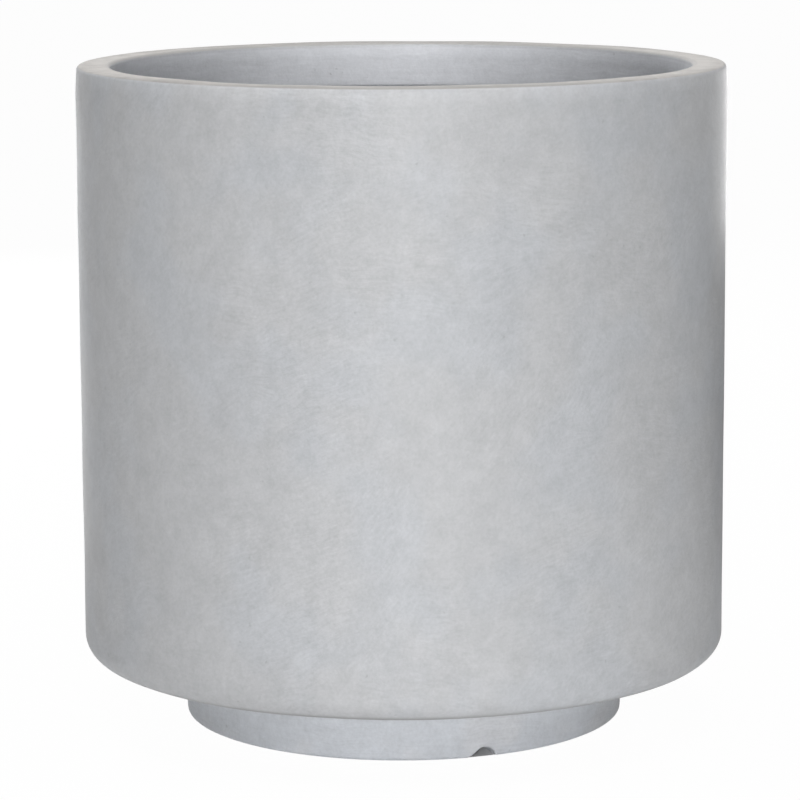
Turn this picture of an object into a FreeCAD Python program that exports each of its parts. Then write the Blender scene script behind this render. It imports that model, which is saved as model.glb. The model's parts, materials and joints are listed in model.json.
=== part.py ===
"""Cylindrical concrete planter: a cast drum with a thick lip, bonded to a foot that is drawn in under it.

Millimetres, +Z up. The origin is on the ground at the drum's axis, and the drain notch faces -Y.
"""

import FreeCAD
import Part

import math
import os

from FreeCAD import Vector

# Drum
DRUM_DIAMETER = 400.0
TOTAL_HEIGHT = 406.0
WALL = 13.0
FLOOR_THICKNESS = 20.0
DRUM_EDGE_RADIUS = 13.0
FLOOR_CORNER_RADIUS = 8.0

# Shoulder, where the side draws in a little up to the rim
SHOULDER_HEIGHT = 16.0
SHOULDER_DRAW = 1.0
SHOULDER_RADIUS = 120.0

# Lip, thicker than the wall, with a step under it on the inside
LIP_WIDTH = 21.5
LIP_DEPTH = 29.0
RIM_EDGE_RADIUS = 2.5
LIP_LOWER_RADIUS = 2.0
LIP_ROOT_RADIUS = 4.0

# Foot, with draft inside and out so that it leaves its mould
FOOT_HEIGHT = 39.0
FOOT_TOP_DIAMETER = 277.0
FOOT_WALL = 26.0
FOOT_DRAFT_DEGREES = 3.0
FOOT_EDGE_RADIUS = 2.5

# Drain notch, the print of a round rod laid across the foot's lower edge
NOTCH_RADIUS = 8.0
NOTCH_HEIGHT = 5.7

# Bond between drum and foot: a raked mortar bed, centred by a boss under the floor
MORTAR_THICKNESS = 2.0
MORTAR_SETBACK = 1.5
BOSS_DEPTH = 6.0
BOSS_CLEARANCE = 1.5
BOSS_EDGE_RADIUS = 1.0

# Drain sleeve, cast in flush with the floor, standing out below as a drip edge
DRAIN_BORE = 26.0
SLEEVE_WALL = 3.0
SLEEVE_DRIP = 4.0
FLANGE_WIDTH = 7.0
FLANGE_THICKNESS = 3.0

# Drain plug
PLUG_CLEARANCE = 0.3
PLUG_SHANK_LENGTH = 24.0
PLUG_TIP_RADIUS = 3.0
PLUG_HEAD_DIAMETER = 38.0
PLUG_HEAD_THICKNESS = 5.0
PLUG_HEAD_RADIUS = 2.0
PLUG_NECK_DIAMETER = 11.0
PLUG_NECK_HEIGHT = 4.0
PLUG_NECK_RADIUS = 1.2
PLUG_KNOB_DIAMETER = 18.0
PLUG_KNOB_THICKNESS = 6.0
PLUG_KNOB_RADIUS = 1.7

# Wire reinforcement
BAR_DIAMETER = 3.0
BAR_COUNT = 8
BAR_TOP_COVER = 8.0
BAR_BEND_RADIUS = 12.0
BAR_END_COVER = 20.0
HOOP_DIAMETER = 3.0
WALL_HOOP_COUNT = 3
FLOOR_HOOP_COUNT = 2
RIM_HOOP_DIAMETER = 4.0
FOOT_HOOP_DIAMETER = 4.0
TIE_GAP = 0.4

# Places that follow from the sizes above
ORIGIN = Vector(0, 0, 0)
UP = Vector(0, 0, 1)
SAME_POINT = 1e-6
DRUM_RADIUS = DRUM_DIAMETER / 2
LIP_INNER_RADIUS = DRUM_RADIUS - LIP_WIDTH
LIP_BOTTOM = TOTAL_HEIGHT - LIP_DEPTH
WALL_INNER_RADIUS = DRUM_RADIUS - WALL
FLOOR_TOP = FOOT_HEIGHT + FLOOR_THICKNESS
FOOT_TOP = FOOT_HEIGHT - MORTAR_THICKNESS
FOOT_TOP_RADIUS = FOOT_TOP_DIAMETER / 2
FOOT_INNER_RADIUS = FOOT_TOP_RADIUS - FOOT_WALL
FOOT_TAPER = FOOT_TOP * math.tan(math.radians(FOOT_DRAFT_DEGREES))
BOSS_RADIUS = FOOT_INNER_RADIUS - BOSS_CLEARANCE
BOSS_BOTTOM = FOOT_HEIGHT - BOSS_DEPTH
DRAIN_RADIUS = DRAIN_BORE / 2
SLEEVE_RADIUS = DRAIN_RADIUS + SLEEVE_WALL
FLANGE_RADIUS = SLEEVE_RADIUS + FLANGE_WIDTH
FLANGE_BOTTOM = FLOOR_TOP - FLANGE_THICKNESS

# Bars and hoops cross side by side, and each crossing pair sits at the middle of its wall
TIE_STEP = (BAR_DIAMETER + HOOP_DIAMETER) / 2 + TIE_GAP
TIED_PAIR = BAR_DIAMETER + TIE_GAP + HOOP_DIAMETER
WALL_HOOP_RADIUS = DRUM_RADIUS - (WALL - TIED_PAIR) / 2 - HOOP_DIAMETER / 2
WALL_BAR_RADIUS = WALL_HOOP_RADIUS - TIE_STEP
FLOOR_BAR_HEIGHT = FOOT_HEIGHT + (FLOOR_THICKNESS - TIED_PAIR) / 2 + BAR_DIAMETER / 2
FLOOR_HOOP_HEIGHT = FLOOR_BAR_HEIGHT + TIE_STEP
RIM_HOOP_RADIUS = WALL_BAR_RADIUS - (BAR_DIAMETER + RIM_HOOP_DIAMETER) / 2 - TIE_GAP


def rounded_face(corners):
    """Flat face in the XZ plane through (x, z, radius) corners, each one rounded by a tangent arc.

    An arc takes up at most half of the sides that it joins.
    """
    points = [Vector(x, 0, z) for x, z, _ in corners]
    bends = []
    for index, corner in enumerate(points):
        back = points[index - 1] - corner
        ahead = points[(index + 1) % len(points)] - corner
        half_angle = back.getAngle(ahead) / 2
        setback = min(corners[index][2] / math.tan(half_angle), back.Length / 2, ahead.Length / 2)
        back.normalize()
        ahead.normalize()
        # The arc's middle lies on the corner's bisector, short of the corner by this much
        shortfall = setback / math.cos(half_angle) - setback * math.tan(half_angle)
        middle = corner + (back + ahead).normalize() * shortfall
        bends.append((corner + back * setback, middle, corner + ahead * setback))

    edges = []
    for index, (arrival, middle, departure) in enumerate(bends):
        next_arrival = bends[(index + 1) % len(bends)][0]
        if not arrival.isEqual(departure, SAME_POINT):
            edges.append(Part.Arc(arrival, middle, departure).toShape())
        if not departure.isEqual(next_arrival, SAME_POINT):
            edges.append(Part.makeLine(departure, next_arrival))
    return Part.Face(Part.Wire(edges))


def turned(corners):
    """Solid of revolution about the Z axis, from the (radius, height, rounding) corners of its section."""
    return rounded_face(corners).revolve(ORIGIN, UP, 360)


def hoop(radius, wire_diameter, height):
    """Closed ring of round wire, level, centred on the axis."""
    return Part.makeTorus(radius, wire_diameter / 2, Vector(0, 0, height), UP)


def between(low, high, count):
    """Evenly spaced values inside a span, with a full step left free at both ends."""
    return [low + (high - low) * (index + 1) / (count + 1) for index in range(count)]


def corner_bar(degrees):
    """One L-shaped wire: down the wall, round a bend and in under the floor towards the drain."""
    top = Vector(WALL_BAR_RADIUS, 0, TOTAL_HEIGHT - BAR_TOP_COVER)
    bend_centre = Vector(WALL_BAR_RADIUS - BAR_BEND_RADIUS, 0, FLOOR_BAR_HEIGHT + BAR_BEND_RADIUS)
    bend_start = bend_centre + Vector(BAR_BEND_RADIUS, 0, 0)
    bend_middle = bend_centre + Vector(1, 0, -1).normalize() * BAR_BEND_RADIUS
    bend_end = bend_centre - Vector(0, 0, BAR_BEND_RADIUS)
    tip = Vector(FLANGE_RADIUS + BAR_END_COVER, 0, FLOOR_BAR_HEIGHT)
    bend = Part.Arc(bend_start, bend_middle, bend_end).toShape()
    path = Part.Wire([Part.makeLine(top, bend_start), bend, Part.makeLine(bend_end, tip)])
    section = Part.Wire(Part.makeCircle(BAR_DIAMETER / 2, top, UP))
    bar = path.makePipeShell([section], True, False)
    bar.rotate(ORIGIN, UP, degrees)
    return bar


def rim_hoop():
    """Hoop tied to the inside of the bars, at half the lip's depth."""
    return [hoop(RIM_HOOP_RADIUS, RIM_HOOP_DIAMETER, TOTAL_HEIGHT - LIP_DEPTH / 2)]


def wall_hoops():
    """Hoops tied to the outside of the bars, spaced up the wall from the floor to the lip."""
    heights = between(FLOOR_TOP, LIP_BOTTOM, WALL_HOOP_COUNT)
    return [hoop(WALL_HOOP_RADIUS, HOOP_DIAMETER, height) for height in heights]


def floor_hoops():
    """Hoops that lie on the bars in the floor, spaced from the sleeve's flange to the wall."""
    radii = between(FLANGE_RADIUS, WALL_INNER_RADIUS, FLOOR_HOOP_COUNT)
    return [hoop(radius, HOOP_DIAMETER, FLOOR_HOOP_HEIGHT) for radius in radii]


def corner_bars():
    """The ring of L-shaped wires, the first half a step round from the X axis."""
    return [corner_bar(360 * (index + 0.5) / BAR_COUNT) for index in range(BAR_COUNT)]


def foot_hoop():
    """Hoop at the middle of the foot's section."""
    return [hoop(FOOT_TOP_RADIUS - FOOT_WALL / 2, FOOT_HOOP_DIAMETER, FOOT_TOP / 2)]


def drum_shell(wires):
    """Drum with its lip, floor, centring boss and drain seat, cast round the given wires."""
    drum = turned(
        [
            (SLEEVE_RADIUS, BOSS_BOTTOM, 0),
            (BOSS_RADIUS, BOSS_BOTTOM, BOSS_EDGE_RADIUS),
            (BOSS_RADIUS, FOOT_HEIGHT, 0),
            (DRUM_RADIUS, FOOT_HEIGHT, DRUM_EDGE_RADIUS),
            (DRUM_RADIUS, TOTAL_HEIGHT - SHOULDER_HEIGHT, SHOULDER_RADIUS),
            (DRUM_RADIUS - SHOULDER_DRAW, TOTAL_HEIGHT, RIM_EDGE_RADIUS),
            (LIP_INNER_RADIUS, TOTAL_HEIGHT, RIM_EDGE_RADIUS),
            (LIP_INNER_RADIUS, LIP_BOTTOM, LIP_LOWER_RADIUS),
            (WALL_INNER_RADIUS, LIP_BOTTOM, LIP_ROOT_RADIUS),
            (WALL_INNER_RADIUS, FLOOR_TOP, FLOOR_CORNER_RADIUS),
            (FLANGE_RADIUS, FLOOR_TOP, 0),
            (FLANGE_RADIUS, FLANGE_BOTTOM, 0),
            (SLEEVE_RADIUS, FLANGE_BOTTOM, 0),
        ]
    )
    return drum.cut(wires)


def foot_ring(wires):
    """Tapered ring with rounded lower edges and a half-round notch through its front, cast round a hoop."""
    ring = turned(
        [
            (FOOT_INNER_RADIUS, FOOT_TOP, 0),
            (FOOT_INNER_RADIUS + FOOT_TAPER, 0, FOOT_EDGE_RADIUS),
            (FOOT_TOP_RADIUS - FOOT_TAPER, 0, FOOT_EDGE_RADIUS),
            (FOOT_TOP_RADIUS, FOOT_TOP, 0),
        ]
    )
    rod_end = Vector(0, -FOOT_TOP_RADIUS, NOTCH_HEIGHT - NOTCH_RADIUS)
    rod_length = FOOT_WALL + NOTCH_RADIUS
    rod = Part.makeCylinder(NOTCH_RADIUS, rod_length, rod_end, Vector(0, 1, 0))
    return ring.cut([rod] + wires)


def mortar_bed():
    """Flat ring between foot and drum, raked back from both faces of the foot."""
    inner = FOOT_INNER_RADIUS + MORTAR_SETBACK
    outer = FOOT_TOP_RADIUS - MORTAR_SETBACK
    return turned(
        [(inner, FOOT_TOP, 0), (outer, FOOT_TOP, 0), (outer, FOOT_HEIGHT, 0), (inner, FOOT_HEIGHT, 0)]
    )


def drain_sleeve():
    """Flanged tube through the floor and the boss."""
    lower_end = BOSS_BOTTOM - SLEEVE_DRIP
    return turned(
        [
            (DRAIN_RADIUS, lower_end, 0),
            (SLEEVE_RADIUS, lower_end, 0),
            (SLEEVE_RADIUS, FLANGE_BOTTOM, 0),
            (FLANGE_RADIUS, FLANGE_BOTTOM, 0),
            (FLANGE_RADIUS, FLOOR_TOP, 0),
            (DRAIN_RADIUS, FLOOR_TOP, 0),
        ]
    )


def drain_plug():
    """Stopper whose head rests on the sleeve's flange, with a necked knob to pull it by."""
    shank_radius = DRAIN_RADIUS - PLUG_CLEARANCE
    head_radius = PLUG_HEAD_DIAMETER / 2
    neck_radius = PLUG_NECK_DIAMETER / 2
    knob_radius = PLUG_KNOB_DIAMETER / 2
    tip = FLOOR_TOP - PLUG_SHANK_LENGTH
    head_top = FLOOR_TOP + PLUG_HEAD_THICKNESS
    knob_bottom = head_top + PLUG_NECK_HEIGHT
    knob_top = knob_bottom + PLUG_KNOB_THICKNESS
    return turned(
        [
            (0, tip, 0),
            (shank_radius, tip, PLUG_TIP_RADIUS),
            (shank_radius, FLOOR_TOP, 0),
            (head_radius, FLOOR_TOP, 0),
            (head_radius, head_top, PLUG_HEAD_RADIUS),
            (neck_radius, head_top, PLUG_NECK_RADIUS),
            (neck_radius, knob_bottom, PLUG_NECK_RADIUS),
            (knob_radius, knob_bottom, PLUG_KNOB_RADIUS),
            (knob_radius, knob_top, PLUG_KNOB_RADIUS),
            (0, knob_top, 0),
        ]
    )


drum_wires = {
    "rim_hoop": rim_hoop(),
    "wall_hoops": wall_hoops(),
    "floor_hoops": floor_hoops(),
    "corner_bars": corner_bars(),
}
foot_wires = {"foot_hoop": foot_hoop()}

castings = {
    "drum_shell": [drum_shell([wire for group in drum_wires.values() for wire in group])],
    "foot_ring": [foot_ring(foot_wires["foot_hoop"])],
    "mortar_bed": [mortar_bed()],
    "drain_sleeve": [drain_sleeve()],
    "drain_plug": [drain_plug()],
}

os.makedirs("parts", exist_ok=True)
for node, solids in {**castings, **drum_wires, **foot_wires}.items():
    Part.makeCompound(solids).exportStep(f"parts/{node}.step")
    volume = sum(solid.Volume for solid in solids) / 1e6
    print(f"{node}: {len(solids)} solid(s), {volume:.4f} litres, valid {all(s.isValid() for s in solids)}")
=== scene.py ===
"""Cylindrical concrete planter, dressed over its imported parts.

Metres, +Z up, with the drain notch in the foot towards -Y.
"""

import json
import math

import bpy
import numpy as np
from mathutils import Matrix, Vector


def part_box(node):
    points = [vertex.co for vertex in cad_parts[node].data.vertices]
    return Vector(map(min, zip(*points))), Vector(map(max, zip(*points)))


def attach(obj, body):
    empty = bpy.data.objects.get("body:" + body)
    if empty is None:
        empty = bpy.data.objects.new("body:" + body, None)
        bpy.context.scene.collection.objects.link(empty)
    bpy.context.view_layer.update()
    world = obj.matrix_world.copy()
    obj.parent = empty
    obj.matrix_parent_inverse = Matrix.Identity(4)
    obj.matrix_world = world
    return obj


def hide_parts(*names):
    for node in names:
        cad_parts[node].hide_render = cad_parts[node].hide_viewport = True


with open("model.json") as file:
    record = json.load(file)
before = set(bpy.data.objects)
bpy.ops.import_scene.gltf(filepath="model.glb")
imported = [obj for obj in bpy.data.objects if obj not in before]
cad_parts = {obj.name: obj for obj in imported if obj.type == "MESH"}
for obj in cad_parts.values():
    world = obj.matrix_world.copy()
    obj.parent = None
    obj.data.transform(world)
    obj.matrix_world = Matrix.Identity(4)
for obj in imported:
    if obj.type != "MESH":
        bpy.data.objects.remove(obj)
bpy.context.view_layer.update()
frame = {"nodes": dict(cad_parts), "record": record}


# Reinforcement
# Hoops and L-shaped bars of plain drawn steel wire, bent cold and tied side by side where they cross.
# They stand in the moulds before anything is poured, so the concrete hides them; the wire is dull grey
# with a bloom of rust from the wet mix.
class Shade:
    """One socket among a finish's nodes, or none yet.

    Arithmetic on it adds Math nodes, and node() adds any other kind.
    """

    def __init__(self, tree, socket=None):
        self.tree = tree
        self.socket = socket

    def node(self, kind, settings, sockets, output=0):
        """Add a node: its settings are made first, then its sockets get their values or links."""
        made = self.tree.nodes.new("ShaderNode" + kind)
        for name, setting in settings.items():
            setattr(made, name, setting)
        for key, value in sockets.items():
            if isinstance(value, Shade):
                self.tree.links.new(value.socket, made.inputs[key])
            else:
                made.inputs[key].default_value = value
        return Shade(self.tree, made.outputs[output])

    def arithmetic(self, operation, first, second):
        """Math node on two values."""
        return self.node("Math", {"operation": operation}, {0: first, 1: second})

    def __add__(self, other):
        return self.arithmetic("ADD", self, other)

    def __sub__(self, other):
        return self.arithmetic("SUBTRACT", self, other)

    def __rsub__(self, other):
        return self.arithmetic("SUBTRACT", other, self)

    def __mul__(self, other):
        return self.arithmetic("MULTIPLY", self, other)

    __radd__ = __add__
    __rmul__ = __mul__

    def step(self, low, high):
        """0 on the low side, 1 on the high side and a smooth rise between; low may be the larger number."""
        sockets = {"Value": self, "From Min": low, "From Max": high}
        return self.node("MapRange", {"interpolation_type": "SMOOTHSTEP"}, sockets)

    def noise(self, scale, detail=2.0, roughness=0.5):
        """Cloudy value about 0.5, with features about 1 / scale long."""
        sockets = {"Vector": self, "Scale": scale, "Detail": detail, "Roughness": roughness}
        return self.node("TexNoise", {}, sockets)

    def swayed(self, scale, reach):
        """Coordinates pushed to and fro by a slow noise, so that straight marks bend."""
        drift = self.node("TexNoise", {}, {"Vector": self, "Scale": scale, "Detail": 1.0}, "Color")
        sockets = {0: drift, 1: (reach, reach, reach), 2: self}
        return self.node("VectorMath", {"operation": "MULTIPLY_ADD"}, sockets)

    def drawn_out(self, turn, size):
        """Coordinates along axes turned by these degrees, in units of size, which draw a pattern out."""
        sockets = {"Vector": self, "Rotation": [math.radians(angle) for angle in turn], "Scale": size}
        return self.node("Mapping", {"vector_type": "TEXTURE"}, sockets)

    def mix(self, first, second):
        """Colour that goes from first, where this value is 0, to second, where it is 1."""
        return self.node("Mix", {"data_type": "RGBA"}, {0: self, 6: first, 7: second}, 2)

    def relief(self, depth):
        """Surface normal of a height map, where a rise from 0 to 1 stands that many metres high."""
        return self.node("Bump", {}, {"Height": self, "Distance": depth})

    def height(self):
        """Height above the ground of these coordinates."""
        return self.node("SeparateXYZ", {}, {0: self}, 2)

    def feed(self, shader, socket):
        """Drive a socket of the shader."""
        self.tree.links.new(self.socket, shader.inputs[socket])


def new_finish(name, constants):
    """Material with constant values set on its shader, and the Object coordinates for its patterns."""
    material = bpy.data.materials.new(name)
    material.use_nodes = True
    tree = material.node_tree
    shader = tree.nodes["Principled BSDF"]
    for socket, value in constants.items():
        shader.inputs[socket].default_value = value
    place = Shade(tree).node("TexCoord", {}, {}, "Object")
    return material, shader, place


def drawn_wire_finish():
    """Dull drawn steel, with rust where a broken noise passes a threshold."""
    bare_steel = (0.33, 0.325, 0.32, 1)
    rust_brown = (0.15, 0.07, 0.035, 1)
    pit_depth = 0.00012
    material, shader, place = new_finish("drawn_wire", {})
    rust = place.noise(70, detail=6, roughness=0.65).step(0.47, 0.6)
    pitting = place.noise(1400, detail=3)
    rust.mix(bare_steel, rust_brown).feed(shader, "Base Color")
    (1 - rust).feed(shader, "Metallic")
    (0.36 + 0.4 * rust + 0.2 * (pitting - 0.5)).feed(shader, "Roughness")
    (pitting * (0.2 + rust)).relief(pit_depth).feed(shader, "Normal")
    return material


wire_material = drawn_wire_finish()
for wire_node in ("rim_hoop", "wall_hoops", "floor_hoops", "corner_bars", "foot_hoop"):
    wire = frame["nodes"][wire_node]
    for wire_slot in wire.material_slots:
        wire_slot.material = wire_material


# Drain sleeve
# Short tube of grey moulded plastic with a flange, stood on the mould's floor so that the drum is cast
# round it. Its flange is flush with the planter's floor, and its lower end stands out below as a drip edge.
sleeve_low, sleeve_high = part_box("drain_sleeve")
flange_radius = sleeve_high.x
floor_top = sleeve_high.z
drain_radius = 0.013
sleeve_radius = 0.016
flange_thickness = 0.003
flange_bottom = floor_top - flange_thickness
moulded_edge = 0.0005


def section_points(corners, steps, closed=True):
    """Points along a section given by (radius, height, rounding) corners, taken anticlockwise.

    A corner with the half angle h between its sides becomes an arc about a centre on its bisector,
    rounding / sin(h) from the corner. The arc is a slerp between the two directions from that centre to the
    sides. A straight stretch has points spaced by a cosine, close together beside the arcs and steps to the
    metre overall.
    """
    fewest_arc_points = 4
    arc_points_per_metre = 500
    points = np.array([corner[:2] for corner in corners], float)
    arcs = []
    for index, (corner, rounding) in enumerate(zip(points, [corner[2] for corner in corners])):
        if rounding == 0:
            arcs.append(corner[None])
            continue
        back = points[index - 1] - corner
        ahead = points[(index + 1) % len(points)] - corner
        back /= np.linalg.norm(back)
        ahead /= np.linalg.norm(ahead)
        half_angle = math.acos(np.clip(back @ ahead, -1, 1)) / 2
        bisector = (back + ahead) / np.linalg.norm(back + ahead)
        centre = corner + bisector * rounding / math.sin(half_angle)
        start = (corner + back * rounding / math.tan(half_angle) - centre) / rounding
        end = (corner + ahead * rounding / math.tan(half_angle) - centre) / rounding
        turn = math.pi - 2 * half_angle
        count = fewest_arc_points + round(arc_points_per_metre * rounding * turn)
        share = np.linspace(0, 1, count)[:, None]
        slerp = (np.sin((1 - share) * turn) * start + np.sin(share * turn) * end) / math.sin(turn)
        arcs.append(centre + rounding * slerp)

    path = []
    for index, arc in enumerate(arcs):
        path.append(arc)
        if not closed and index == len(arcs) - 1:
            break
        start = arc[-1]
        end = arcs[(index + 1) % len(arcs)][0]
        count = max(2, math.ceil(np.linalg.norm(end - start) * steps))
        share = (1 - np.cos(np.pi * np.arange(1, count) / count))[:, None] / 2
        path.append(start + (end - start) * share)
    return np.concatenate(path)


def turned_grid(radius, height, angles):
    """Vertices (r cos a, r sin a, z) of a ring, and the quads between neighbours.

    The grids have a row for each section point and a column for each angle, and are closed both along the
    section and round the axis.
    """
    vertices = np.stack([radius * np.cos(angles), radius * np.sin(angles), height], axis=-1)
    rows, columns = radius.shape
    row = np.arange(rows)[:, None]
    column = np.arange(columns)[None]
    next_row = (row + 1) % rows
    next_column = (column + 1) % columns
    corners = [row * columns + column, row * columns + next_column]
    corners += [next_row * columns + next_column, next_row * columns + column]
    return vertices.reshape(-1, 3), np.stack(corners, axis=-1).reshape(-1, 4)


def full_circle(count):
    """Evenly spaced angles round the axis."""
    return np.arange(count) * 2 * np.pi / count


def plain_turning(section, angles):
    """Turned grid of a section that is the same at every angle."""
    same = np.ones((1, len(angles)))
    return turned_grid(section[:, :1] * same, section[:, 1:] * same, angles)


def new_mesh(name, vertices, faces, material):
    """Mesh of these vertices and faces, with one material."""
    mesh = bpy.data.meshes.new(name)
    mesh.from_pydata(vertices, [], faces)
    mesh.materials.append(material)
    return mesh


def new_object(name, data):
    """Object of a mesh, lamp or camera, linked to the scene."""
    made = bpy.data.objects.new(name, data)
    bpy.context.scene.collection.objects.link(made)
    return made


def put_piece(name, vertices, faces, material, slot, body, node):
    """Smooth-shaded piece in place of a CAD node, riding on its body."""
    mesh = new_mesh(name, vertices, faces, material)
    mesh.polygons.foreach_set("use_smooth", np.ones(len(faces), bool))
    piece = new_object(name, mesh)
    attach(piece, body)
    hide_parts(node)


def sleeve_finish():
    """Grey plastic with a faint moulded texture and a haze of dried cement in its low spots."""
    plastic_grey = (0.27, 0.28, 0.29, 1)
    cement_haze = (0.48, 0.48, 0.47, 1)
    peel_depth = 0.00006
    material, shader, place = new_finish("sleeve_plastic", {"Specular IOR Level": 0.45})
    haze = place.noise(150, detail=5, roughness=0.6).step(0.46, 0.74)
    orange_peel = place.noise(1600, detail=1)
    (0.6 * haze).mix(plastic_grey, cement_haze).feed(shader, "Base Color")
    (0.42 + 0.35 * haze).feed(shader, "Roughness")
    orange_peel.relief(peel_depth).feed(shader, "Normal")
    return material


sleeve_section = section_points(
    [
        (drain_radius, sleeve_low.z, moulded_edge),
        (sleeve_radius, sleeve_low.z, moulded_edge),
        (sleeve_radius, flange_bottom, 0),
        (flange_radius, flange_bottom, 0),
        (flange_radius, floor_top, moulded_edge),
        (drain_radius, floor_top, moulded_edge),
    ],
    steps=400,
)
sleeve_mesh = plain_turning(sleeve_section, full_circle(128))
put_piece("drain_tube", *sleeve_mesh, sleeve_finish(), "sleeve_plastic", "planter", "drain_sleeve")


# Drum
# Fine concrete cast upright in a two-part mould: a straight side, a thick lip with a step under it, and a
# floor with a shallow boss below. The skin is rubbed down by hand, which leaves clouds of tone, some of
# them bluish, and patches of fine strokes. The flat of the rim is warm and mottled. Light and shade are
# painted into the skin on the rim, inside below the rim, and along the upper and lower edges of the side.
drum_low, drum_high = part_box("drum_shell")
foot_low, foot_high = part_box("foot_ring")
bed_low, bed_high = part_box("mortar_bed")
mouth = next(mount for mount in frame["record"]["mounts"] if mount["name"] == "mouth")
drum_radius = drum_high.x
rim_top = drum_high.z
underside = bed_high.z
wall_thickness = 0.013
wall_radius = drum_radius - wall_thickness
mm_per_metre = 1000
mouth_length = mouth["dims"]["length_mm"] / mm_per_metre
lip_radius = mouth["dims"]["r_mm"] / mm_per_metre
lip_edge = 0.002
lip_corner = 0.004
lip_bottom = mouth["pos_m"][2] - mouth_length / 2 - lip_edge
rim_rounding = 0.0025
shoulder_height = 0.016
shoulder_draw = 0.001
shoulder_rounding = 0.120
base_rounding = 0.013
boss_radius = 0.111
boss_edge = 0.001
boss_corner = 0.0008
bore_edge = 0.0005
floor_fillet = 0.008
flange_joint = 0.0003
flange_corner = 0.0002
drum_unevenness = 0.00013
unevenness_run = 0.02
skin_change = (drum_radius - 0.007, drum_radius - 0.011)
# The flat of the rim is painted palest at the two ends of this direction, as light on its sides.
side_light_turn = math.radians(-20)


def rubbed_relief(along, angles, height, seed):
    """Slow unevenness of a surface finished by hand, about height deep.

    It is a sum of cosines with seeded phases. Each goes through a whole number of waves round the axis, and
    along the section its wave is 70 to 350 mm long.
    """
    random = np.random.default_rng(seed)
    waves = 14
    turns = random.integers(2, 15, waves)
    lengths = random.uniform(0.07, 0.35, waves)
    rates = 2 * np.pi / lengths * random.choice([-1, 1], waves)
    phases = random.uniform(0, 2 * np.pi, waves)
    parts = np.cos(turns * angles[None, :, None] + rates * along[:, None, None] + phases)
    return parts.sum(axis=2) * height / math.sqrt(waves)


def along_and_normal(section):
    """Length run along a closed section up to each point, and the outward direction there."""
    ahead = np.roll(section, -1, axis=0) - section
    along = np.concatenate([[0], np.cumsum(np.linalg.norm(ahead, axis=1))[:-1]])
    tangent = ahead + np.roll(ahead, 1, axis=0)
    normal = np.stack([tangent[:, 1], -tangent[:, 0]], axis=1)
    return along, normal / np.linalg.norm(normal, axis=1)[:, None]


def rubbed_strokes(place, turn, length, width):
    """Short uneven streaks left by a rubbing pad: noise drawn out along one direction and bent a little."""
    bent = place.swayed(40, reach=0.009)
    return bent.drawn_out(turn, (length, length, width)).noise(1, detail=3, roughness=0.7)


def concrete_finish(name, strokes_at, skin_at):
    """Cast concrete, whose tone goes from dark to pale with clouds, blotches, grain and strokes.

    strokes_at gives the strokes from the coordinates, and they bite deeper in places. skin_at gives the
    colour of the skin from the coordinates and the tone. Pores and scratches are dark marks in it.
    """
    mark_dark = (0.2, 0.2, 0.205, 1)
    texture_depth = 0.00012
    material, shader, place = new_finish(name, {"Specular IOR Level": 0.4})
    bite = place.noise(13).step(0.38, 0.62)
    strokes = strokes_at(place) - 0.5
    clouds = place.noise(9) - 0.5
    blotches = place.noise(52, detail=4, roughness=0.9) - 0.5
    grain = place.noise(520, detail=3, roughness=0.6) - 0.5
    tone = 0.5 + 0.25 * clouds + blotches + 0.45 * grain + (0.25 + 0.5 * bite) * strokes
    specks = {"Vector": place.swayed(300, reach=0.003), "Scale": 95.0}
    pits = place.node("TexVoronoi", {}, specks).step(0.12, 0.03)
    pores = pits * place.noise(30, detail=1).step(0.5, 0.64)
    scratches = rubbed_strokes(place, turn=(0, 14, 60), length=0.012, width=0.0009).step(0.76, 0.84)
    marks = 0.26 * pores + 0.3 * scratches
    texture = grain + (0.4 + 0.8 * bite) * strokes + 2 * blotches - 2 * marks
    marks.mix(skin_at(place, tone), mark_dark).feed(shader, "Base Color")
    (0.54 + 0.3 * grain + 0.25 * clouds).feed(shader, "Roughness")
    texture.relief(texture_depth).feed(shader, "Normal")
    return material


def from_axis(place):
    """Distance from the vertical axis."""
    level = place.node("VectorMath", {"operation": "MULTIPLY"}, {0: place, 1: (1, 1, 0)})
    return place.node("VectorMath", {"operation": "LENGTH"}, {0: level}, "Value")


def distance_along(place, direction):
    """Distance of the coordinates from the origin along a direction, in units of 1 / its length."""
    return place.node("VectorMath", {"operation": "DOT_PRODUCT"}, {0: place, 1: direction}, "Value")


def below_rim(place, start, end):
    """0 to 1 as the depth below the top of the rim goes from start to end."""
    return place.height().step(rim_top - start, rim_top - end)


def inner_side(place):
    """1 on the inner side of the wall and the lip, and 0 on the outer side."""
    return from_axis(place).step(*skin_change)


def inside_drum(place):
    """1 on the inner side of the wall and the lip, and 0 outside and on top of the rim."""
    return inner_side(place) * below_rim(place, start=0.0012, end=0.0035)


def drum_strokes(place):
    """Diagonal, crossing and near-level strokes in patches outside, and level strokes inside."""
    diagonal = rubbed_strokes(place, turn=(0, -54, -20), length=0.008, width=0.0016)
    level = rubbed_strokes(place, turn=(0, 10, 40), length=0.009, width=0.0017)
    crossing = rubbed_strokes(place, turn=(0, -24, -50), length=0.008, width=0.0016)
    brushed = rubbed_strokes(place, turn=(0, 0, 0), length=0.030, width=0.0025)
    patch = place.noise(8).step(0.42, 0.58)
    other_patch = place.noise(11).step(0.46, 0.6)
    outside = level + patch * (diagonal - level)
    outside = outside + other_patch * (crossing - outside)
    return outside + inside_drum(place) * (brushed - outside)


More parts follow.
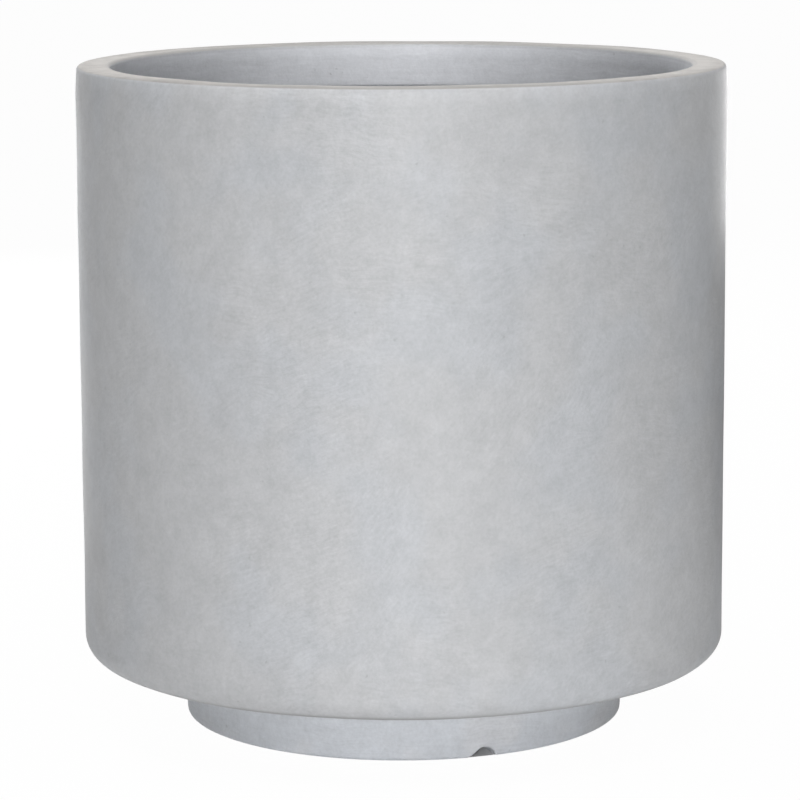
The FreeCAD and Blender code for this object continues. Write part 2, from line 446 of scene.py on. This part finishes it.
def outer_skin(place, tone):
    """Neutral grey with bluish clouds, and painted light and shade at its edges.

    It is paler along the upper edge, a painted highlight, and dark over the underside and the lowest few
    millimetres of the side, a painted shade where the drum meets the foot.
    """
    neutral_greys = ((0.348, 0.3525, 0.361, 1), (0.543, 0.549, 0.562, 1))
    bluish_greys = ((0.343, 0.352, 0.367, 1), (0.535, 0.549, 0.572, 1))
    underside_shade_grey = (0.26, 0.26, 0.26, 1)
    underside_shade_band = (underside + 0.0042, underside + 0.0006)
    # Paler band just below the rim: a painted highlight.
    side_tone_with_highlight = tone + 0.23 * below_rim(place, start=0.012, end=0.003)
    bluish = place.noise(15).step(0.42, 0.62)
    side = bluish.mix(side_tone_with_highlight.mix(*neutral_greys), side_tone_with_highlight.mix(*bluish_greys))
    # Dark over the underside and the lowest few millimetres of the side: painted shade where the drum meets
    # the foot.
    below = place.height().step(*underside_shade_band)
    return below.mix(side, underside_shade_grey)


def inner_skin(place, tone):
    """Level streaks, painted pale and bluish for a hand's depth below the rim as light on the inner wall.

    Just under the rim it is paler still, a painted highlight, and deeper down it is darker.
    """
    # The pale greys are painted light on the upper inner wall; the darker greys are for deeper down.
    inner_painted_light_greys = ((0.52, 0.53, 0.555, 1), (0.84, 0.856, 0.895, 1))
    deep_inner_greys = ((0.30, 0.302, 0.308, 1), (0.50, 0.503, 0.51, 1))
    streaks = rubbed_strokes(place, turn=(0, 0, 0), length=0.09, width=0.003) - 0.5
    # Paler just under the rim: a painted highlight.
    inner_top_highlight = below_rim(place, start=0.011, end=0.005)
    upper_inner_tone = 0.15 + 0.7 * tone + 0.45 * streaks + 0.2 * inner_top_highlight
    depth = below_rim(place, start=0.06, end=0.13)
    return depth.mix(upper_inner_tone.mix(*inner_painted_light_greys), tone.mix(*deep_inner_greys))


def rim_skin(place):
    """Warm and mottled, and painted palest at the two ends of one direction, as light on the rim's sides.

    It has painted shade towards its outer edge, an even painted highlight along its inner edge, and painted
    shade on the side away from the notch.
    """
    mottle_greys = ((0.34, 0.327, 0.314, 1), (0.58, 0.557, 0.534, 1))
    inner_highlight_grey = (0.48, 0.467, 0.455, 1)
    far_rim_shade_grey = (0.2, 0.193, 0.187, 1)
    outer_shade_band = (drum_radius - 0.015, drum_radius - 0.003)
    inner_highlight_band = (lip_radius + 0.004, lip_radius + 0.0015)
    # Painted light: the rim is paler towards both ends of this axis, on top of its mottle.
    side_light_axis = (math.cos(side_light_turn) / drum_radius, math.sin(side_light_turn) / drum_radius, 0)
    across_side_light = (-side_light_axis[1], side_light_axis[0], 0)
    reach = distance_along(place, side_light_axis)
    mottle_and_side_light = 0.25 + 0.85 * reach * reach + 1.6 * (place.noise(70, detail=4, roughness=0.7) - 0.5)
    # Darker towards the outer edge: painted shade.
    mottle_and_side_light = mottle_and_side_light - 0.4 * from_axis(place).step(*outer_shade_band)
    # Even pale line along the inner edge: a painted highlight.
    inner_edge_highlight = from_axis(place).step(*inner_highlight_band)
    rubbed = inner_edge_highlight.mix(mottle_and_side_light.mix(*mottle_greys), inner_highlight_grey)
    # Darker on the side away from the notch: painted shade.
    far_rim_shade = distance_along(place, across_side_light).step(0.45, 0.92)
    return (0.34 * far_rim_shade).mix(rubbed, far_rim_shade_grey)


def drum_skin(place, tone):
    """Outer skin, inner skin and the flat of the rim, which reaches a little lower on the inner side."""
    rim_band = (rim_top - 0.0009, rim_top - 0.0002)
    inner_reach = 0.0006
    on_rim = (place.height() + inner_reach * inner_side(place)).step(*rim_band)
    walls = inside_drum(place).mix(outer_skin(place, tone), inner_skin(place, tone))
    return on_rim.mix(walls, rim_skin(place))


drum_section = section_points(
    [
        (sleeve_radius, drum_low.z, bore_edge),
        (boss_radius, drum_low.z, boss_edge),
        (boss_radius, underside, boss_corner),
        (drum_radius, underside, base_rounding),
        (drum_radius, rim_top - shoulder_height, shoulder_rounding),
        (drum_radius - shoulder_draw, rim_top, rim_rounding),
        (lip_radius, rim_top, rim_rounding),
        (lip_radius, lip_bottom, lip_edge),
        (wall_radius, lip_bottom, lip_corner),
        (wall_radius, floor_top, floor_fillet),
        (flange_radius, floor_top, flange_joint),
        (flange_radius, flange_bottom, flange_corner),
        (sleeve_radius, flange_bottom, flange_joint),
    ],
    steps=190,
)
drum_angles = full_circle(300)
drum_along, drum_normal = along_and_normal(drum_section)
# Within the foot's radius the drum stays true, and its unevenness grows over a short run outside it.
seat_free = np.clip((drum_section[:, :1] - foot_high.x) / unevenness_run, 0, 1)
drum_relief = rubbed_relief(drum_along, drum_angles, drum_unevenness, seed=5) * seat_free
drum_mesh = turned_grid(
    drum_section[:, :1] + drum_normal[:, :1] * drum_relief,
    drum_section[:, 1:] + drum_normal[:, 1:] * drum_relief,
    drum_angles,
)
drum_material = concrete_finish("drum_concrete", drum_strokes, drum_skin)
put_piece("drum", *drum_mesh, drum_material, "drum_concrete", "planter", "drum_shell")


# Foot
# Ring of the same concrete, cast by itself with draft inside and out, brushed level all round and a little
# bluer. A rod laid across its mould leaves the half-round drain notch in the lower edge, and one flank of
# the notch is rubbed wider.
foot_wall = 0.026
foot_draft = math.radians(3)
foot_taper = foot_high.z * math.tan(foot_draft)
foot_edge = 0.0025
foot_top_edge = 0.0008
foot_unevenness = 0.0001
notch_radius = 0.008
notch_height = 0.0057
notch_flare = 0.011
notch_crowding = 0.2


def crowded_circle(count, centre, crowding):
    """Angles round the axis that crowd together about one direction.

    With u from -1 to 1, the angle from the centre is pi times crowding u plus the rest times u cubed.
    """
    u = np.arange(count) * 2 / count - 1
    return centre + np.pi * (crowding * u + (1 - crowding) * u**3)


def notch_roof(x):
    """Height of the rod's print above the ground.

    On the +X side it is a circle of the notch's radius that peaks at the notch's height. The -X side was
    rubbed wider and is a raised cosine, which meets the ground at the flare.
    """
    circle = np.sqrt(np.maximum(notch_radius**2 - x**2, 0)) - (notch_radius - notch_height)
    rubbed = notch_height * (1 + np.cos(np.pi * np.clip(x / notch_flare, -1, 0))) / 2
    return np.where(x < 0, rubbed, np.maximum(circle, 0))


def foot_strokes(place):
    """Level brush marks."""
    return rubbed_strokes(place, turn=(0, 3, 0), length=0.035, width=0.0016)


def foot_skin(place, tone):
    """Bluish grey with a few neutral clouds, painted paler than the drum as light on the foot.

    Just below the joint it is darker, a painted shade under the drum's overhang.
    """
    # These greys are paler than the drum's: painted light on the foot, over its own bluish tone.
    bluish_greys = ((0.47, 0.488, 0.516, 1), (0.735, 0.762, 0.807, 1))
    neutral_greys = ((0.485, 0.485, 0.496, 1), (0.755, 0.755, 0.771, 1))
    overhang_shade_band = (0.022, 0.029)
    # Darker just below the joint: painted shade under the drum's overhang.
    tone = tone - 0.38 * place.height().step(*overhang_shade_band)
    neutral = 0.5 * place.noise(25).step(0.5, 0.7)
    return neutral.mix(tone.mix(*bluish_greys), tone.mix(*neutral_greys))


foot_section = section_points(
    [
        (foot_high.x - foot_wall, foot_high.z, foot_top_edge),
        (foot_high.x - foot_wall + foot_taper, foot_low.z, foot_edge),
        (foot_high.x - foot_taper, foot_low.z, foot_edge),
        (foot_high.x, foot_high.z, foot_top_edge),
    ],
    steps=320,
)
foot_angles = crowded_circle(480, -np.pi / 2, notch_crowding)
foot_along, foot_normal = along_and_normal(foot_section)
# Only what faces sideways is uneven, so that the foot stands and seats flat.
side_share = np.abs(foot_normal[:, :1])
foot_relief = rubbed_relief(foot_along, foot_angles, foot_unevenness, seed=8) * side_share
foot_radius = foot_section[:, :1] + foot_normal[:, :1] * foot_relief
# Heights are squeezed towards the top, so that the lower edge follows the roof of the notch.
foot_roof = notch_roof(foot_radius * np.cos(foot_angles)) * (np.sin(foot_angles) < 0)
foot_height = foot_roof + foot_section[:, 1:] * (1 - foot_roof / foot_high.z)
foot_mesh = turned_grid(foot_radius, foot_height, foot_angles)
foot_material = concrete_finish("foot_concrete", foot_strokes, foot_skin)
put_piece("foot", *foot_mesh, foot_material, "foot_concrete", "planter", "foot_ring")


# Mortar bed
# Thin bed of sandy mortar, spread on the foot before the drum is set down on it. What squeezes out is raked
# back from both faces, so its edge is hollow and uneven.
bed_width = 0.023
bed_edge = 0.0002
rake_depth = 0.0007
rake_unevenness = 0.35
rake_fineness = 9


def mortar_finish():
    """Sandy grey mortar with dark and pale grains."""
    paste_grey = (0.33, 0.33, 0.33, 1)
    sand_pale = (0.52, 0.51, 0.49, 1)
    sand_depth = 0.0003
    material, shader, place = new_finish("bed_mortar", {"Roughness": 0.85, "Specular IOR Level": 0.3})
    sand = place.noise(1500, detail=3, roughness=0.7)
    sand.step(0.35, 0.68).mix(paste_grey, sand_pale).feed(shader, "Base Color")
    (sand + place.noise(400)).relief(sand_depth).feed(shader, "Normal")
    return material


bed_section = section_points(
    [
        (bed_high.x - bed_width, bed_low.z, bed_edge),
        (bed_high.x, bed_low.z, bed_edge),
        (bed_high.x, bed_high.z, bed_edge),
        (bed_high.x - bed_width, bed_high.z, bed_edge),
    ],
    steps=900,
)
bed_angles = full_circle(420)
bed_normal = along_and_normal(bed_section)[1]
bed_depth = (bed_section[:, 1:] - bed_low.z) / (bed_high.z - bed_low.z)
# The hollow is a parabola, deepest at mid height, on what faces sideways. It varies round the axis alone.
hollow = 4 * bed_depth * (1 - bed_depth) * np.abs(bed_normal[:, :1])
uneven = 1 + rubbed_relief(np.zeros(1), rake_fineness * bed_angles, rake_unevenness, seed=12)
bed_radius = bed_section[:, :1] - bed_normal[:, :1] * hollow * rake_depth * uneven
bed_mesh = turned_grid(bed_radius, bed_section[:, 1:] * np.ones_like(bed_radius), bed_angles)
put_piece("mortar", *bed_mesh, mortar_finish(), "mortar", "planter", "mortar_bed")


# Drain plug
# Stopper moulded in black rubber, with a head that rests on the sleeve's flange and a necked knob to pull
# it by. It is pushed in by hand for indoor use and lifts straight out.
plug_low, plug_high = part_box("drain_plug")
plug_clearance = 0.0003
plug_head = 0.005
plug_neck_radius = 0.0055
plug_neck = 0.004
plug_knob_radius = 0.009
plug_head_top = floor_top + plug_head
plug_knob_bottom = plug_head_top + plug_neck
shank_radius = drain_radius - plug_clearance
shank_end = 0.003
head_seat = 0.0002
head_lower_edge = 0.0006
head_upper_edge = 0.002
neck_fillet = 0.0012
knob_edge = 0.0017


def closed_spindle(section, angles):
    """Turned surface whose section starts and ends on the axis.

    It has quads between its rings, and a fan of triangles from a single vertex at each end.
    """
    rings = section[1:-1]
    vertices, quads = plain_turning(rings, angles)
    quads = quads[: -len(angles)]
    column = np.arange(len(angles))
    next_column = (column + 1) % len(angles)
    last_ring = (len(rings) - 1) * len(angles)
    low_pole = np.full_like(column, len(vertices))
    high_pole = low_pole + 1
    poles = [(0, 0, section[0, 1]), (0, 0, section[-1, 1])]
    low_fan = np.stack([next_column, column, low_pole], axis=1)
    high_fan = np.stack([last_ring + column, last_ring + next_column, high_pole], axis=1)
    return np.concatenate([vertices, poles]), quads.tolist() + low_fan.tolist() + high_fan.tolist()


def rubber_finish():
    """Black rubber, rubbed grey in places and dusted with fine cement."""
    rubber_black = (0.022, 0.022, 0.023, 1)
    dust_grey = (0.16, 0.16, 0.155, 1)
    skin_depth = 0.00005
    material, shader, place = new_finish("plug_rubber", {"Specular IOR Level": 0.4})
    dust = place.noise(160, detail=6, roughness=0.65).step(0.48, 0.78)
    mould_skin = place.noise(2200)
    (0.55 * dust).mix(rubber_black, dust_grey).feed(shader, "Base Color")
    (0.55 + 0.3 * dust).feed(shader, "Roughness")
    mould_skin.relief(skin_depth).feed(shader, "Normal")
    return material


plug_section = section_points(
    [
        (0, plug_low.z, 0),
        (shank_radius, plug_low.z, shank_end),
        (shank_radius, floor_top, head_seat),
        (plug_high.x, floor_top, head_lower_edge),
        (plug_high.x, plug_head_top, head_upper_edge),
        (plug_neck_radius, plug_head_top, neck_fillet),
        (plug_neck_radius, plug_knob_bottom, neck_fillet),
        (plug_knob_radius, plug_knob_bottom, knob_edge),
        (plug_knob_radius, plug_high.z, knob_edge),
        (0, plug_high.z, 0),
    ],
    steps=700,
    closed=False,
)
plug_mesh = closed_spindle(plug_section, full_circle(128))
put_piece("stopper", *plug_mesh, rubber_finish(), "plug_rubber", "plug", "drain_plug")


# Floor and studio
# A wide pale floor runs out of sight under a white surround. Seen by the camera or in a reflection both are
# white, with a trace of the planter's shadow on the floor. Soft lamps light the planter at a plain level, a
# spot reaches into its mouth, and cards behind it show in the sheen along the edges of its side.
view_turn = math.radians(-20.72)
white = (1, 1, 1, 1)
ambient = 0.03
floor_size = 40.0
floor_grey = (0.9, 0.9, 0.9, 1)
shadow_share = 0.02
white_from = foot_high.x - 0.0055
white_to = foot_high.x - 0.004
card_distance = 0.5
spot_distance = 1.9
spot_height = 1.55
spot_aim_height = 0.375
one_face = [(0, 1, 2, 3)]


def seen_directly(tree):
    """1 for rays from the camera, a reflection or through glass, and 0 for diffuse light."""
    kinds = ("Is Camera Ray", "Is Glossy Ray", "Is Transmission Ray")
    camera_ray, glossy_ray, clear_ray = [Shade(tree).node("LightPath", {}, {}, kind) for kind in kinds]
    return (camera_ray + glossy_ray + clear_ray).step(0.0, 1.0)


def floor_finish():
    """Pale matt floor, clear from below.

    From above it is nearly plain white to the camera, but not under the foot.
    """
    constants = {"Base Color": floor_grey, "Roughness": 0.9, "Specular IOR Level": 0.0}
    material, shader, place = new_finish("studio_floor", constants)
    tree = material.node_tree
    glow = place.node("Emission", {}, {"Color": white, "Strength": 1.0})
    clear = place.node("BsdfTransparent", {}, {})
    below = place.node("NewGeometry", {}, {}, "Backfacing")
    lit = Shade(tree, shader.outputs[0])
    beyond_foot = from_axis(place).step(white_from, white_to)
    share = seen_directly(tree) * beyond_foot * (1 - shadow_share)
    upper = place.node("MixShader", {}, {0: share, 1: lit, 2: glow})
    either = place.node("MixShader", {}, {0: below, 1: upper, 2: clear})
    either.feed(tree.nodes["Material Output"], "Surface")
    return material


half = floor_size / 2
floor_corners = [(-half, -half, 0), (half, -half, 0), (half, half, 0), (-half, half, 0)]
floor_mesh = new_mesh("studio_floor", floor_corners, one_face, floor_finish())
studio_floor = new_object("studio_floor", floor_mesh)

studio = bpy.data.worlds.new("studio")
studio.use_nodes = True
surround = studio.node_tree.nodes["Background"]
surround.inputs["Color"].default_value = white
(ambient + (1 - ambient) * seen_directly(studio.node_tree)).feed(surround, "Strength")
bpy.context.scene.world = studio


def from_camera(turn, distance, height):
    """Point at a height and a distance from the axis, turned round it by these degrees from the camera."""
    azimuth = view_turn + math.radians(turn)
    return Vector((distance * math.sin(azimuth), -distance * math.cos(azimuth), height))


def aimed_lamp(name, light, location, target):
    """Lamp at a location, shining at a target and hidden from the camera."""
    lamp = new_object(name, light)
    lamp.location = location
    lamp.rotation_euler = (target - location).to_track_quat("-Z", "Y").to_euler()
    lamp.visible_camera = False
    return lamp


def softbox(name, turn, distance, height, aim, width, tall, watts):
    """Soft rectangular lamp, which aims at that height on the axis."""
    light = bpy.data.lights.new(name, "AREA")
    light.shape = "RECTANGLE"
    light.size = width
    light.size_y = tall
    light.energy = watts
    return aimed_lamp(name, light, from_camera(turn, distance, height), Vector((0, 0, aim)))


def sheen_card(name, turn, width, low, high, level):
    """Upright card facing the planter, which shows in its sheen alone; level 1 is the surround's white."""
    middle = from_camera(turn, card_distance, low)
    side = from_camera(turn + 90, width / 2, 0)
    up = Vector((0, 0, high - low))
    corners = [middle - side, middle + side, middle + side + up, middle - side + up]
    constants = {
        "Base Color": (0, 0, 0, 1),
        "Specular IOR Level": 0.0,
        "Emission Color": white,
        "Emission Strength": level,
    }
    material = new_finish(name, constants)[0]
    card = new_object(name, new_mesh(name, corners, one_face, material))
    card.visible_camera = False
    card.visible_diffuse = False
    card.visible_shadow = False


softbox("low_softbox", turn=1, distance=2.4, height=0.32, aim=0.25, width=0.9, tall=0.6, watts=30.5)
softbox("high_softbox", turn=-4, distance=2.4, height=1.45, aim=0.25, width=0.9, tall=1.1, watts=7)
softbox("overhead_softbox", turn=0, distance=0.25, height=2.3, aim=0.2, width=1.8, tall=1.8, watts=33)
softbox("floor_card", turn=25, distance=0.33, height=0.012, aim=8.0, width=0.7, tall=0.22, watts=0.15)
back_softbox = softbox(
    "back_softbox", turn=-160, distance=2.2, height=0.75, aim=0.25, width=0.6, tall=0.5, watts=31
)
back_softbox.visible_glossy = False

spot_light = bpy.data.lights.new("mouth_spot", "SPOT")
spot_light.energy = 92
spot_light.spot_size = math.radians(6.8)
spot_light.spot_blend = 1.0
spot_light.shadow_soft_size = 0.08
spot_place = from_camera(0, spot_distance, spot_height)
far_wall = from_camera(180, wall_radius, spot_aim_height)
aimed_lamp("mouth_spot", spot_light, spot_place, far_wall)

sheen_card("bright_card", turn=-152, width=0.4, low=0.03, high=0.4, level=3.0)
sheen_card("dark_card", turn=135, width=0.5, low=0.0, high=0.25, level=0.0)
sheen_card("high_card", turn=150, width=0.4, low=0.26, high=0.4, level=6.5)


# Camera
# It stands about 2.2 m away, a little above the rim, and looks down on the planter through a long lens.
# It is rolled by a hair.
camera_distance = 2.1851
camera_height = 0.56597
camera_lens = 159.56
camera_sensor = 36.0
camera_pitch = math.radians(9.6245)
camera_yaw = math.radians(-0.043)
camera_roll = math.radians(-0.25)

camera_data = bpy.data.cameras.new("camera")
camera_data.lens = camera_lens
camera_data.sensor_width = camera_sensor
camera = new_object("camera", camera_data)
camera.matrix_world = (
    Matrix.Rotation(view_turn, 4, "Z")
    @ Matrix.Translation((0, -camera_distance, camera_height))
    @ Matrix.Rotation(-camera_yaw, 4, "Z")
    @ Matrix.Rotation(math.pi / 2 - camera_pitch, 4, "X")
    @ Matrix.Rotation(camera_roll, 4, "Z")
)
bpy.context.scene.camera = camera
bpy.context.scene.view_settings.view_transform = "Standard"
